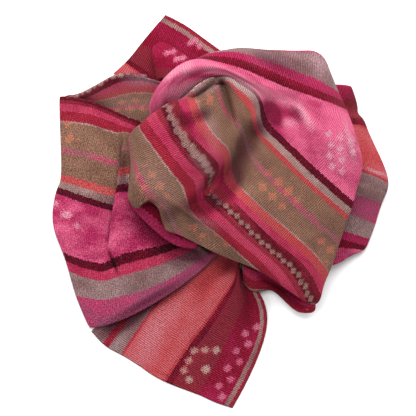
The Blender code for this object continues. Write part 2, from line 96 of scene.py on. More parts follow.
# The gathered middle of the scarf is one stretch of the striped cloth, on top of the heap. It
# rises from its pointed fold at the near right, dips into a valley, and turns over into the
# folded edge and the hood at the far left. Its sides turn under as soft rolled folds.
MM = 0.001
CLOTH_THICKNESS = 1.2
HEAP_CENTRE = (11.3, -3.0)
MiddleLine = namedtuple(
    "MiddleLine",
    "across tip shoulder panel slope valley rise front crest edge tuck under end",
)
MIDDLE = [
    MiddleLine(-66, (-38, -20, 43), (-42, -11, 46), (-46, 0, 50), (-57, 6, 53), (-65, 1, 48),
               (-73, 8, 46), (-73, 27, 47), (-72, 44, 47), (-74, 57, 46), (-73, 62, 40),
               (-64, 59, 38), (-56, 56, 38)),
    MiddleLine(-52, (-21, -27, 42), (-26, -19, 46), (-32, -7, 51), (-40, 5, 57), (-49, 15, 62),
               (-56, 25, 65), (-64, 38, 64), (-70, 50, 58), (-72, 65, 54), (-71, 69, 46),
               (-62, 66, 43), (-53, 62, 42)),
    MiddleLine(-40, (16, -45, 42), (8, -34, 46), (-7, -16, 53), (-23, -3, 59), (-31, 8, 61),
               (-38, 21, 67), (-50, 37, 71), (-61, 55, 69), (-67, 70, 63), (-67, 74, 55),
               (-58, 70, 50), (-49, 66, 48)),
    MiddleLine(-30, (51, -60, 42), (34, -45, 50), (9, -23, 58), (-9, -9, 62), (-17, 3, 59),
               (-21, 18, 67), (-34, 36, 76), (-52, 60, 76), (-62, 74, 69), (-62, 78, 61),
               (-54, 74, 56), (-45, 69, 54)),
    MiddleLine(0, (99, -89, 26), (84, -60, 42), (54, -33, 56), (20, 0, 66), (1, 18, 58),
               (4, 33, 70), (-12, 51, 81), (-27, 72, 85), (-37, 92, 82), (-38, 96, 73),
               (-30, 91, 66), (-20, 84, 62)),
    MiddleLine(16, (107, -75, 29), (92, -51, 44), (60, -24, 58), (28, 6, 66), (11, 25, 59),
               (12, 42, 73), (-3, 60, 83), (-17, 80, 87), (-22, 97, 85), (-24, 101, 76),
               (-21, 103, 72), (-12, 99, 65)),
    MiddleLine(30, (112, -61, 32), (98, -43, 45), (66, -15, 60), (37, 11, 66), (22, 31, 61),
               (19, 51, 74), (5, 67, 85), (-6, 86, 89), (-12, 100, 87), (-12, 104, 77),
               (-15, 109, 82), (-8, 111, 70)),
    MiddleLine(41, (117, -48, 35), (100, -31, 47), (69, -3, 61), (42, 22, 67), (29, 42, 63),
               (25, 61, 75), (11, 75, 86), (1, 92, 91), (-4, 104, 89), (-3, 109, 78),
               (-5, 117, 84), (1, 114, 71)),
    MiddleLine(52, (121, -35, 38), (102, -20, 50), (72, 8, 63), (47, 34, 68), (35, 53, 65),
               (30, 71, 75), (17, 84, 86), (9, 98, 90), (5, 110, 90), (6, 114, 82),
               (6, 120, 85), (6, 114, 71)),
    MiddleLine(68, (127, -16, 43), (108, 1, 55), (80, 26, 66), (54, 51, 71), (43, 66, 70),
               (38, 79, 76), (30, 91, 81), (22, 103, 81), (16, 115, 78), (3, 112, 68),
               (-8, 102, 60), (-7, 90, 55)),
    MiddleLine(77, (130, -7, 46), (112, 8, 57), (86, 31, 67), (62, 55, 73), (49, 68, 74),
               (44, 81, 79), (40, 97, 84), (28, 109, 85), (16, 118, 82), (-2, 112, 72),
               (-15, 101, 64), (-15, 87, 57)),
    MiddleLine(89, (134, 3, 48), (115, 19, 59), (89, 43, 69), (68, 63, 75), (55, 76, 77),
               (50, 89, 78), (45, 105, 81), (29, 117, 83), (14, 123, 82), (-5, 117, 75),
               (-22, 104, 66), (-25, 87, 55)),
    MiddleLine(106, (139, 22, 50), (123, 36, 61), (101, 56, 70), (80, 75, 75), (68, 87, 73),
               (58, 98, 72), (43, 112, 78), (22, 124, 83), (-4, 127, 85), (-27, 116, 81),
               (-42, 98, 73), (-39, 80, 53)),
    MiddleLine(124, (143, 46, 50), (131, 59, 61), (111, 76, 70), (91, 91, 75), (76, 101, 73),
               (60, 108, 75), (40, 118, 82), (13, 130, 88), (-14, 132, 88), (-37, 118, 84),
               (-51, 97, 71), (-46, 78, 49)),
    MiddleLine(142, (131, 87, 48), (121, 92, 60), (106, 98, 69), (90, 104, 74), (73, 110, 76),
               (56, 117, 76), (35, 126, 78), (10, 134, 79), (-16, 137, 76), (-40, 121, 71),
               (-54, 96, 57), (-49, 77, 44)),
    MiddleLine(157, (124, 103, 46), (114, 108, 58), (101, 114, 66), (86, 120, 71), (70, 127, 74),
               (52, 134, 75), (31, 141, 74), (6, 143, 70), (-17, 136, 61), (-40, 118, 54),
               (-52, 94, 46), (-48, 76, 40)),
    MiddleLine(178, (113.6, 128.5, 42), (109, 138.6, 46), (99, 145.4, 48), (85, 146, 52),
               (68, 146.5, 55), (51, 147.5, 57), (31, 149, 57), (8, 145, 52), (-15, 135, 44),
               (-37, 117, 38), (-50, 93, 36), (-46, 75, 35)),
]

# The yarns' colours, and the stripes of each half of the scarf, from the middle stripe out to
# the red border of the long side. Every stripe drifts between two yarns, and so do the motifs.
YARNS = {
    "maroon": (98, 4, 28), "dark maroon": (76, 2, 26), "red brown": (150, 40, 58),
    "pink": (225, 100, 138), "deep pink": (170, 40, 86), "pale pink": (236, 158, 180),
    "rosy": (192, 62, 92), "magenta": (160, 24, 68), "thin pink": (180, 76, 98),
    "crimson": (160, 34, 54), "deep crimson": (132, 10, 42), "coral": (186, 66, 70),
    "warm coral": (184, 80, 80), "rose": (192, 90, 98), "olive": (142, 103, 85),
    "dark olive": (114, 80, 66), "pale taupe": (174, 140, 132), "taupe": (128, 92, 92),
    "grey taupe": (154, 124, 124), "mauve": (182, 58, 100), "dull mauve": (146, 70, 98),
    "dusty maroon": (126, 34, 50), "border red": (146, 30, 50), "border taupe": (168, 122, 120),
    "beige": (206, 176, 162), "chain beige": (186, 152, 140), "orange": (200, 124, 92),
    "grey white": (226, 186, 196), "grey pink": (214, 158, 178), "motif pink": (216, 100, 140),
    "dark red": (142, 34, 48), "cream": (232, 200, 196),
}
Stripe = namedtuple("Stripe", "start yarn second")
HALF_WIDTH = 360.0
INNER_STRIPES = [
    Stripe(53, "thin pink", "taupe"), Stripe(56.5, "olive", "dark olive"),
    Stripe(73, "coral", "warm coral"), Stripe(78.5, "pale taupe", "taupe"),
    Stripe(85.5, "maroon", "dark maroon"), Stripe(92.5, "pink", "deep pink"),
]
END_STRIPES = [
    Stripe(224.5, "grey taupe", "taupe"), Stripe(239.5, "coral", "crimson"),
    Stripe(242, "rose", "coral"), Stripe(285, "coral", "crimson"),
    Stripe(288, "maroon", "deep crimson"), Stripe(294, "dusty maroon", "dark red"),
    Stripe(319, "deep crimson", "magenta"), Stripe(346, "dark maroon", "maroon"),
    Stripe(347.2, "border taupe", "taupe"), Stripe(351, "border red", "dark red"),
]
NEAR_STRIPES = [
    Stripe(0, "maroon", "dark maroon"), Stripe(5, "red brown", "maroon"),
    Stripe(10, "rosy", "magenta"), Stripe(21, "crimson", "deep crimson"),
    Stripe(30.5, "pale taupe", "taupe"), Stripe(31.8, "olive", "dark olive"), *INNER_STRIPES,
    Stripe(143, "maroon", "dark maroon"), Stripe(149.6, "magenta", "rosy"),
    Stripe(158, "grey taupe", "taupe"), Stripe(176.5, "mauve", "dull mauve"),
    Stripe(203.5, "grey taupe", "taupe"), Stripe(217.5, "deep crimson", "crimson"), *END_STRIPES,
]
FAR_STRIPES = [
    Stripe(0, "maroon", "red brown"), Stripe(11, "rosy", "magenta"),
    Stripe(20, "coral", "warm coral"), Stripe(30, "pale taupe", "taupe"),
    Stripe(31.3, "olive", "dark olive"), *INNER_STRIPES,
    Stripe(144, "maroon", "deep crimson"), Stripe(152.8, "magenta", "deep pink"),
    Stripe(161, "grey taupe", "taupe"), Stripe(176.5, "mauve", "dull mauve"),
    Stripe(203.5, "grey taupe", "taupe"), Stripe(217.5, "pale taupe", "taupe"), *END_STRIPES,
]
MOTIF_YARNS = [
    Stripe(0, "chain beige", "pale taupe"), Stripe(26, "orange", "warm coral"),
    Stripe(80, "grey pink", "pale pink"), Stripe(288, "beige", "rose"),
    Stripe(319, "motif pink", "pale pink"),
]
DAYLIGHT = 0.6


def dyed(yarn):
    """A yarn's colour as the shader wants it, from its look in full daylight."""
    shares = [part / 255 for part in YARNS[yarn]]
    linear = [s / 12.92 if s <= 0.04045 else ((s + 0.055) / 1.055) ** 2.4 for s in shares]
    return (*[part * DAYLIGHT for part in linear], 1.0)


def place_node(tree, kind, inputs=None, **settings):
    """A shader node with its settings, and its inputs set or linked."""
    node = tree.nodes.new(kind)
    for name, value in settings.items():
        setattr(node, name, value)
    for key, value in (inputs or {}).items():
        if isinstance(value, bpy.types.NodeSocket):
            tree.links.new(value, node.inputs[key])
        else:
            node.inputs[key].default_value = value
    return node


def calculated(tree, operation, *values):
    """The result of one sum in the shader."""
    node = place_node(tree, "ShaderNodeMath", dict(enumerate(values)), operation=operation)
    return node.outputs[0]


def spread(tree, value, low, high, to_low=0.0, to_high=1.0):
    """A value spread from one range to another, and kept inside it."""
    inputs = {0: value, 1: low, 2: high, 3: to_low, 4: to_high}
    return place_node(tree, "ShaderNodeMapRange", inputs, clamp=True).outputs[0]


def mixed(tree, share, one, other):
    """Two colours mixed by a share."""
    inputs = {0: share, 6: one, 7: other}
    return place_node(tree, "ShaderNodeMix", inputs, data_type="RGBA").outputs[2]


def soft_noise(tree, place, **look):
    """Soft noise over the cloth, with its scale, detail and roughness."""
    return place_node(tree, "ShaderNodeTexNoise", {"Vector": place, **look}).outputs[0]


def stripe_colour(tree, distance, stripes, drift):
    """The stripe that lies at a distance from the middle, drifting between its two yarns."""
    ramps = []
    for column in (1, 2):
        ramp = place_node(tree, "ShaderNodeValToRGB", {0: distance})
        ramp.color_ramp.interpolation = "CONSTANT"
        stops = ramp.color_ramp.elements
        stops.remove(stops[-1])
        stops[0].color = dyed(stripes[0][column])
        for stripe in stripes[1:]:
            stops.new(stripe.start / HALF_WIDTH).color = dyed(stripe[column])
        ramps.append(ramp.outputs[0])
    return mixed(tree, drift, *ramps)


# The weave's lengths are in millimetres on the flat cloth. A diamond's reach is counted in its
# steps, and the other values are plain factors and one colour.
RIB_PITCH = 1.75
RIB_SWAY = 4.0
RIB_STAGGER = 0.8
STRIPE_FRAY = 0.5
FLECK_STRETCH = (1.0, 2.0, 1.0)
# How far the shade marks pull the drift between yarns, as painted shade and light.
SHADE_AND_DYE_PULL = 0.3
DIAMOND_GAP = 13.0
DIAMOND_STEPS = 6.5
DIAMOND_REACH = 2.5
OLIVE_MIDDLE = 61.0
OLIVE_REACH = 30.0
CHAIN_PITCH = 7.0
CHAIN_SIDESTEP = 2.0
CHAIN_OFFSET = 0.6
CHAIN_FRAY = 1.7
CHAIN_THICKNESS = 4.0
CHAIN_WIDTH = 4.2
CHAIN_SPREAD = 1.6
CHAIN_STRIPE = 8.0
MOTIF_STRENGTH = 0.64
# The deep red tint that painted shade multiplies into the cloth.
PAINTED_SHADE_COLOUR = (0.42, 0.22, 0.34, 1.0)


def woven_stripes():
    """The striped cloth's shader group: stripes, yarn drift, painted shade and light, motifs, pale
    fibres with painted highlight, ribs and flecks.
    """
    tree = bpy.data.node_groups.new("woven_stripes", "ShaderNodeTree")
    for name in ("Cloth", "Motif", "Shade_and_dye", "Bloom_and_highlight", "Ribs", "Flecks"):
        kind = "Vector" if name == "Cloth" else "Float"
        tree.interface.new_socket(name, in_out="INPUT", socket_type=f"NodeSocket{kind}")
    for name, kind in (("Colour", "Color"), ("Height", "Float")):
        tree.interface.new_socket(name, in_out="OUTPUT", socket_type=f"NodeSocket{kind}")
    given = place_node(tree, "NodeGroupInput")
    result = place_node(tree, "NodeGroupOutput")
    split = place_node(tree, "ShaderNodeSeparateXYZ", {0: given.outputs["Cloth"]})
    along = calculated(tree, "MULTIPLY", split.outputs[0], 1 / MM)
    across = calculated(tree, "MULTIPLY", split.outputs[1], 1 / MM)
    place = place_node(tree, "ShaderNodeCombineXYZ", {0: along, 1: across}).outputs[0]

    # Flecks lie along the stripes, where single fibres stand out.
    stretched = place_node(
        tree, "ShaderNodeVectorMath", {0: place, 1: FLECK_STRETCH}, operation="MULTIPLY"
    ).outputs[0]
    fleck = soft_noise(tree, stretched, Scale=0.55, Detail=2.0, Roughness=0.8)
    speck = spread(tree, fleck, 0.36, 0.64, -1.0, 1.0)

    # Ribs run across the stripes, each a little crooked, and shift the stripes' edges.
    wander = soft_noise(tree, place, Scale=0.07, Detail=1.0)
    sway = calculated(tree, "MULTIPLY_ADD", wander, RIB_SWAY, along)
    rib_count = calculated(tree, "DIVIDE", sway, RIB_PITCH)
    rib = calculated(tree, "SINE", calculated(tree, "MULTIPLY", rib_count, 2 * pi))
    rib_number = calculated(tree, "FLOOR", rib_count)
    jitter = place_node(
        tree, "ShaderNodeTexWhiteNoise", {"W": rib_number}, noise_dimensions="1D"
    ).outputs[0]
    shifted = calculated(tree, "MULTIPLY_ADD", jitter, RIB_STAGGER, across)
    shifted = calculated(tree, "SUBTRACT", shifted, RIB_STAGGER / 2)
    shifted = calculated(tree, "MULTIPLY_ADD", speck, STRIPE_FRAY, shifted)
    distance = calculated(tree, "ABSOLUTE", shifted)
    share = calculated(tree, "DIVIDE", distance, HALF_WIDTH)
    near_half = calculated(tree, "LESS_THAN", shifted, 0.0)

    # The dye drifts slowly over the cloth between each stripe's two yarns.
    # Shade marks lean it to the second yarn, mostly the darker one, partly as deeper dye and partly
    # as painted shade; negative marks lean it to the first yarn as painted light.
    cloud = soft_noise(tree, stretched, Scale=0.03, Detail=5.0, Roughness=0.6)
    cloud = calculated(tree, "MULTIPLY_ADD", given.outputs["Shade_and_dye"], SHADE_AND_DYE_PULL, cloud)
    drift = spread(tree, cloud, 0.4, 0.7)
    near = stripe_colour(tree, share, NEAR_STRIPES, drift)
    far = stripe_colour(tree, share, FAR_STRIPES, drift)
    ground = mixed(tree, near_half, far, near)
    motif_colour = stripe_colour(tree, share, MOTIF_YARNS, drift)

    # Stepped diamonds in staggered rows, on and beside the olive stripes, where the cloth is
    # marked for them.
    row = calculated(tree, "DIVIDE", across, DIAMOND_GAP)
    offset = calculated(tree, "MULTIPLY", calculated(tree, "FLOOR", row), 0.5)
    column = calculated(tree, "ADD", calculated(tree, "DIVIDE", along, DIAMOND_GAP), offset)
    steps = []
    for part in (row, column):
        inside = calculated(tree, "SUBTRACT", calculated(tree, "FRACT", part), 0.5)
        length = calculated(tree, "MULTIPLY", calculated(tree, "ABSOLUTE", inside), DIAMOND_STEPS)
        steps.append(calculated(tree, "ROUND", length))
    diamond = calculated(tree, "LESS_THAN", calculated(tree, "ADD", *steps), DIAMOND_REACH)
    olive = calculated(tree, "COMPARE", distance, OLIVE_MIDDLE, OLIVE_REACH)
    motif = calculated(tree, "MULTIPLY_ADD", speck, 0.25, given.outputs["Motif"])
    motif = calculated(tree, "MULTIPLY", spread(tree, motif, 0.2, 0.45), diamond)
    motif = calculated(tree, "MULTIPLY", motif, olive)

    # Ragged blocks of yarn, wherever the cloth is marked more strongly.
    block = calculated(tree, "MULTIPLY_ADD", speck, 0.8, given.outputs["Motif"])
    motif = calculated(tree, "MAXIMUM", motif, spread(tree, block, 1.3, 2.2))

    # A chain of small lozenges runs along the middle stripe, and closes up where it is marked.
    link = calculated(tree, "FRACT", calculated(tree, "DIVIDE", along, CHAIN_PITCH))
    link = calculated(tree, "ABSOLUTE", calculated(tree, "SUBTRACT", link, 0.5))
    side = calculated(tree, "FLOOR", calculated(tree, "DIVIDE", along, CHAIN_PITCH))
    side = calculated(tree, "MULTIPLY", calculated(tree, "MODULO", side, 2.0), CHAIN_SIDESTEP)
    core = calculated(tree, "SUBTRACT", shifted, calculated(tree, "SUBTRACT", side, CHAIN_OFFSET))
    core = calculated(tree, "MULTIPLY_ADD", speck, CHAIN_FRAY, calculated(tree, "ABSOLUTE", core))
    off = calculated(tree, "MULTIPLY_ADD", link, CHAIN_PITCH, core)
    thick = calculated(
        tree, "MULTIPLY_ADD", given.outputs["Motif"], CHAIN_THICKNESS, CHAIN_THICKNESS
    )
    widest = calculated(tree, "MULTIPLY_ADD", given.outputs["Motif"], CHAIN_SPREAD, CHAIN_WIDTH)
    chain = calculated(tree, "LESS_THAN", off, thick)
    chain = calculated(tree, "MULTIPLY", chain, calculated(tree, "LESS_THAN", core, widest))
    middle_stripe = calculated(tree, "LESS_THAN", distance, CHAIN_STRIPE)
    chain = calculated(tree, "MULTIPLY", chain, spread(tree, fleck, 0.36, 0.56, 0.3, 1.0))
    shown = place_node(tree, "ShaderNodeMix", {0: middle_stripe, 2: motif, 3: chain}).outputs[0]
    shown = calculated(tree, "MULTIPLY", shown, MOTIF_STRENGTH)
    colour = mixed(tree, shown, ground, motif_colour)

    # Where the cloth is marked pale it whitens in soft clouds: partly pale fibres standing out,
    # partly painted highlight on ridges and rims and painted light in shaded hollows.
    pale = spread(tree, fleck, 0.3, 0.7, 0.25, 0.85)
    pale = calculated(tree, "MULTIPLY", pale, given.outputs["Bloom_and_highlight"])
    colour = mixed(tree, pale, colour, dyed("grey white"))

    # Strong shade marks darken the cloth towards a deep red tint, as painted shade in creases,
    # valleys, hollows and under overhangs. Ribs and flecks stand up from it, and their tops are
    # paler.
    ribbed = calculated(tree, "MULTIPLY", rib, given.outputs["Ribs"])
    flecked = calculated(tree, "MULTIPLY", speck, given.outputs["Flecks"])
    relief = calculated(tree, "ADD", ribbed, flecked)
    depth = spread(tree, given.outputs["Shade_and_dye"], 0.4, 1.0)
    colour = place_node(
        tree, "ShaderNodeMix", {0: depth, 6: colour, 7: PAINTED_SHADE_COLOUR},
        data_type="RGBA", blend_type="MULTIPLY",
    ).outputs[2]
    # The colour is scaled with the height of ribs and flecks: painted shade in the rib troughs and
    # random tone from the flecks. The highest tops turn towards cream, partly pale fibre tips and
    # partly painted highlight.
    tone = calculated(tree, "ADD", relief, 1.0)
    toned = place_node(
        tree, "ShaderNodeVectorMath", {0: colour, "Scale": tone}, operation="SCALE"
    ).outputs[0]
    cream_on_tops = spread(tree, relief, 0.3, 0.9, 0.0, 0.12)
    tree.links.new(mixed(tree, cream_on_tops, toned, dyed("cream")), result.inputs["Colour"])
    height = calculated(tree, "MULTIPLY_ADD", flecked, 0.35, ribbed)
    tree.links.new(height, result.inputs["Height"])
    return tree


WEAVE = woven_stripes()
# The marks each piece carries: motifs, painted shade and light with yarn drift, and pale fibres
# with painted highlight.
MARKS = ("motif", "shade_and_dye", "bloom_and_highlight")


def cloth_material(name, ribs, flecks):
    """The striped cloth as a matt material, with its own strength of ribs and flecks."""
    material = bpy.data.materials.new(name)
    material.use_nodes = True
    tree = material.node_tree
    shader = tree.nodes["Principled BSDF"]
    given = {"Cloth": place_node(tree, "ShaderNodeUVMap", uv_map="cloth").outputs[0]}
    for label in MARKS:
        mark = place_node(tree, "ShaderNodeAttribute", attribute_name=label)
        given[label.capitalize()] = mark.outputs["Fac"]
    given.update(Ribs=ribs, Flecks=flecks)
    weave = place_node(tree, "ShaderNodeGroup", given, node_tree=WEAVE)
    relief = {"Height": weave.outputs["Height"], "Strength": 0.6, "Distance": 0.0008}
    bump = place_node(tree, "ShaderNodeBump", relief)
    tree.links.new(weave.outputs["Colour"], shader.inputs["Base Color"])
    tree.links.new(bump.outputs[0], shader.inputs["Normal"])
    shader.inputs["Roughness"].default_value = 0.9
    shader.inputs["Specular IOR Level"].default_value = 0.05
    shader.inputs["Sheen Weight"].default_value = 0.02
    shader.inputs["Sheen Roughness"].default_value = 0.5
    return material


def control_net(lines):
    """The lines' points as an array of rows and stations: x, y, z and the distance across."""
    return np.array([[(*point, line[0]) for point in line[1:]] for line in lines], float)


def knots_along(net):
    """Spline knots for the rows of a net, from the mean spacing of its points."""
    gaps = np.linalg.norm(np.diff(net[..., :3], axis=0), axis=2).mean(axis=1)
    return np.concatenate([[0.0], np.cumsum(np.sqrt(gaps))])


def spline(values, knots, places):
    """A natural cubic spline through the rows of values, read at the given places."""
    count = len(knots)
    step = np.diff(knots)
    shape = (-1,) + (1,) * (values.ndim - 1)
    slope = np.diff(values, axis=0) / step.reshape(shape)
    system, target = np.eye(count), np.zeros_like(values)
    for i in range(1, count - 1):
        system[i, i - 1 : i + 2] = step[i - 1], 2 * (step[i - 1] + step[i]), step[i]
        target[i] = 6 * (slope[i] - slope[i - 1])
    bend = np.linalg.solve(system, target.reshape(count, -1)).reshape(values.shape)
    i = np.clip(np.searchsorted(knots, places) - 1, 0, count - 2)
    left = (places - knots[i]).reshape(shape)
    right = (knots[i + 1] - places).reshape(shape)
    width = step[i].reshape(shape)
    return (
        (bend[i] * right**3 + bend[i + 1] * left**3) / (6 * width)
        + (values[i] / width - bend[i] * width / 6) * right
        + (values[i + 1] / width - bend[i + 1] * width / 6) * left
    )


def lofted(net, rows, stations):
    """The net's surface as a grid of rows by stations."""
    knots = knots_along(net)
    grid = spline(net, knots, np.linspace(0, knots[-1], rows)).swapaxes(0, 1)
    knots = knots_along(grid)
    return spline(grid, knots, np.linspace(0, knots[-1], stations)).swapaxes(0, 1)


def measured_along(surface, share):
    """Adds the distance along the stripes as a fifth value, squared up at a share of the way."""
    steps = np.linalg.norm(np.diff(surface[..., :3], axis=1), axis=2)
    along = np.concatenate([np.zeros((len(surface), 1)), np.cumsum(steps, axis=1)], axis=1)
    column = int(share * (surface.shape[1] - 1))
    heading = np.gradient(surface[..., :3], axis=1)[:, column]
    heading /= np.linalg.norm(heading, axis=1)[:, None]
    drift = (np.diff(surface[:, column, :3], axis=0) * (heading[1:] + heading[:-1]) / 2).sum(axis=1)
    start = np.concatenate([[0.0], np.cumsum(drift)])
    along += (start - along[:, column])[:, None]
    return np.concatenate([surface, along[..., None]], axis=2)


Crease = namedtuple("Crease", "start end width depth first last", defaults=[-400, 400])
CREASE_FADE = 6


def creased(surface, crease):
    """Presses in a soft trough between two places, from a first to a last distance across.

    A negative depth raises a ridge.
    """
    start, end = np.array(crease.start, float), np.array(crease.end, float)
    run = end - start
    spot = surface[..., :2] - start
    share = np.clip((spot @ run) / (run @ run), 0, 1)
    off = np.linalg.norm(spot - share[..., None] * run, axis=-1)
    fade = np.sin(pi * np.clip(share, 0.03, 0.97)) ** 0.6
    inside = np.clip((surface[..., 3] - crease.first) / CREASE_FADE, 0, 1)
    inside *= np.clip((crease.last - surface[..., 3]) / CREASE_FADE, 0, 1)
    surface = surface.copy()
    surface[..., 2] -= inside * crease.depth * fade * np.exp(-((off / crease.width) ** 2))
    return surface


Patch = namedtuple("Patch", "x y long wide turn strength", defaults=[1.0])
PATCH_REACH = 1.3
BLOCK_TURN = 40


def block_row(start, step, aside, count, size=5.0, strength=2.7):
    """Small woven blocks in a row, every second one set aside from it."""
    row = []
    for k in range(count):
        x, y = (start[i] + step[i] * k + aside[i] * (k % 2) for i in (0, 1))
        row.append(Patch(x, y, size, 0.9 * size, BLOCK_TURN, strength))
    return row


def marked(points, patches):
    """How strongly each point is marked: fully amid the patches, fading to 0 beyond them."""
    marks = np.zeros(len(points))
    for patch in patches:
        turn = radians(patch.turn)
        off = points[:, :2] - (patch.x, patch.y)
        lengthwise = (off[:, 0] * cos(turn) + off[:, 1] * sin(turn)) / patch.long
        sideways = (off[:, 1] * cos(turn) - off[:, 0] * sin(turn)) / patch.wide
        away = np.clip(np.cbrt(abs(lengthwise) ** 3 + abs(sideways) ** 3) / PATCH_REACH, 0, 1)
        marks += patch.strength * (0.5 + 0.5 * np.cos(pi * away))
    return np.clip(marks, -1, 3)


def grid_faces(rows, columns):
    """Quads over a grid of points."""
    return [
        (i * columns + j, i * columns + j + 1, (i + 1) * columns + j + 1, (i + 1) * columns + j)
        for i in range(rows - 1)
        for j in range(columns - 1)
    ]


def border(rows, stations, sides):
    """Indices along the named sides of a grid, in order, each with its inner neighbours."""
    def at(i, j):
        return i * stations + j

    runs = {
        "last_row": [(at(rows - 1, j), at(rows - 2, j)) for j in reversed(range(stations))],
        "first_station": [(at(i, 0), at(i, 1)) for i in reversed(range(rows))],
        "first_row": [(at(0, j), at(1, j)) for j in range(stations)],
    }
    chain = {}
    for side in sides:
        for edge, inner in runs[side]:
            chain.setdefault(edge, []).append(inner)
    return list(chain.items())


def eased(values, times):
    """A run of values smoothed along its length."""
    values = values.copy()
    for _ in range(times):
        values[1:-1] = (values[:-2] + 2 * values[1:-1] + values[2:]) / 4
    return values / np.linalg.norm(values[:, :3], axis=1)[:, None]


Fold = namedtuple("Fold", "sides radius reach start_gap end_gap", defaults=[0, 0])
AROUND = ("last_row", "first_station", "first_row")
FOLD_SMOOTHING = 24
FOLD_TURNS = (30, 60, 90, 120, 150, 180)


def turned_under(points, faces, grid, fold):
    """Turns the named sides under: half a round, then a flat reach below the cloth."""
    chain = border(*grid, fold.sides)
    chain = chain[fold.start_gap : len(chain) - fold.end_gap]
    edge = points[[e for e, _ in chain]]
    out = np.array([points[e] - points[inner].mean(axis=0) for e, inner in chain])
    out = eased(out / np.linalg.norm(out[:, :3], axis=1)[:, None], FOLD_SMOOTHING)
    down = np.cross(out[:, :3], np.gradient(edge[:, :3], axis=0))
    down /= np.linalg.norm(down, axis=1)[:, None]
    down = eased(-np.sign(down[:, 2].sum()) * down, FOLD_SMOOTHING)
    radius = fold.radius
    before = [e for e, _ in chain]
    rings = [(turn, 0) for turn in FOLD_TURNS] + [(180, fold.reach / 2), (180, fold.reach)]
    for turn, back in rings:
        ring = edge + out * (radius * sin(radians(turn)) - back)
        ring[:, :3] += down * radius * (1 - cos(radians(turn)))
        ring[:, 3:] = edge[:, 3:] + out[:, 3:] * (radius * radians(turn) + back)
        here = list(range(len(points), len(points) + len(chain)))
        points = np.concatenate([points, ring])
        faces = faces + [
            (before[k], here[k], here[k + 1], before[k + 1]) for k in range(len(chain) - 1)
        ]
        before = here
    return points, faces


RUMPLE_SIZE = 26.0
RUMPLE_RISE = 0.5


def sheet_piece(
    name, lines, fold, material, grid, square_at, creases=(), motifs=(), shades_and_dyes=(), blooms_and_highlights=()
):
    """One stretch of cloth: lofted, creased, turned under, and marked for motifs, for painted shade
    and light with yarn drift, and for pale fibres with painted highlight.
    """
    surface = measured_along(lofted(control_net(lines), *grid), square_at)
    for crease in creases:
        surface = creased(surface, crease)
    points = surface.reshape(-1, 5)
    points[:, 2] += [RUMPLE_RISE * noise.noise(Vector(p) / RUMPLE_SIZE) for p in points[:, :3]]
    faces = grid_faces(*grid)
    if fold:
        points, faces = turned_under(points, faces, grid, fold)
    points[:, 2] = np.maximum(points[:, 2], CLOTH_THICKNESS / 2)
    mesh = bpy.data.meshes.new(name)
    offset = np.array([*HEAP_CENTRE, 0.0])
    mesh.from_pydata(((points[:, :3] - offset) * MM).tolist(), [], faces)
    mesh.polygons.foreach_set("use_smooth", [True] * len(mesh.polygons))
    cloth = mesh.uv_layers.new(name="cloth")
    corners = np.empty(len(mesh.loops), int)
    mesh.loops.foreach_get("vertex_index", corners)
    cloth.data.foreach_set("uv", (points[corners][:, [4, 3]] * MM).ravel())
    for label, places in zip(MARKS, (motifs, shades_and_dyes, blooms_and_highlights)):
        marks = mesh.attributes.new(label, "FLOAT", "POINT")
        marks.data.foreach_set("value", marked(points, places))
    mesh.materials.append(material)
    piece = bpy.data.objects.new(name, mesh)
    bpy.context.scene.collection.objects.link(piece)
    wall = piece.modifiers.new("wall", "SOLIDIFY")
    wall.thickness = CLOTH_THICKNESS * MM
    wall.offset = 0.0
    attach(piece, "root")
    return piece


MIDDLE_CREASES = [
    Crease((9, 130), (24, 76), 3.4, 16.0, 46, 84), Crease((21, 104), (16, 18), 9, 4.0),
    Crease((-17, 99), (9, 118), 2.4, 6.5, 20, 66), Crease((-14, 106), (6, 122), 3.0, -2.5, 20, 66),
    Crease((-30, 40), (-18, 12), 7, 2.5), Crease((2, 26), (-4, 8), 6, 2.5),
    Crease((-22, 122), (8, 126), 3.5, 3.0, 100, 136), Crease((-10, 82), (6, 66), 8, -1.5),
    Crease((44, 60), (62, 30), 9, 1.2), Crease((78, 104), (98, 84), 8, 2.2),
    Crease((62, 104), (86, 100), 7, 1.6), Crease((-60, 40), (-52, 16), 5, 1.6),
    Crease((96, 60), (120, 66), 10, -1.2), Crease((30, -8), (62, -36), 7, 1.2),
]
MIDDLE_PATCHES = [
    Patch(-50, 22, 22, 15, -55), Patch(66, 16, 24, 18, -40), Patch(111, -38, 20, 10, -65),
    Patch(4, -24, 26, 9, -25), Patch(1, 102, 12, 9, 0), Patch(-17, 58, 40, 14, -54),
    *block_row((112, 69), (0.5, -10.2), (2.0, 0.6), 4, 5.2, 2.9),
    *block_row((123.5, 66), (0.8, -10.4), (-1.2, -0.5), 4, 5.2, 2.9),
    *block_row((134, 63), (0.3, -10.6), (1.0, 0), 2, 5.0, 2.9),
]
# Pale marks on the middle: pale frost on the pink, painted highlight along the hood's rim, and
# painted light in the shaded hollows inside the hood and in the valley.
MIDDLE_BLOOM_AND_HIGHLIGHT = [
    Patch(-20, 130, 10, 7, 30, 0.6), Patch(2, 130, 11, 4, -10, 0.4),
    Patch(-34, 125, 11, 5, 45, 0.6), Patch(-24, 137, 28, 3, 28, 0.7),
    Patch(74, 98, 14, 6, -35, 0.35), Patch(90, 86, 18, 5, -60, 0.8), Patch(76, 79, 9, 5, 0, 0.5),
    Patch(124, 52, 24, 16, 60, 0.2), Patch(132, 62, 26, 3.5, -75, 0.5),
    Patch(40, 112, 34, 8, -25, 0.5), Patch(-2, -15, 16, 8, -25, 0.2),
    Patch(-6, 42, 16, 7, -50, 0.22), Patch(66, 138, 30, 8, 0, 0.15),
    Patch(104, 134, 15, 10, -60, 0.5), Patch(-14, 111, 28, 8, 12, 0.75),
    Patch(4, 70, 26, 9, -75, 0.25), Patch(-48, 24, 28, 16, -50, 0.14),
]
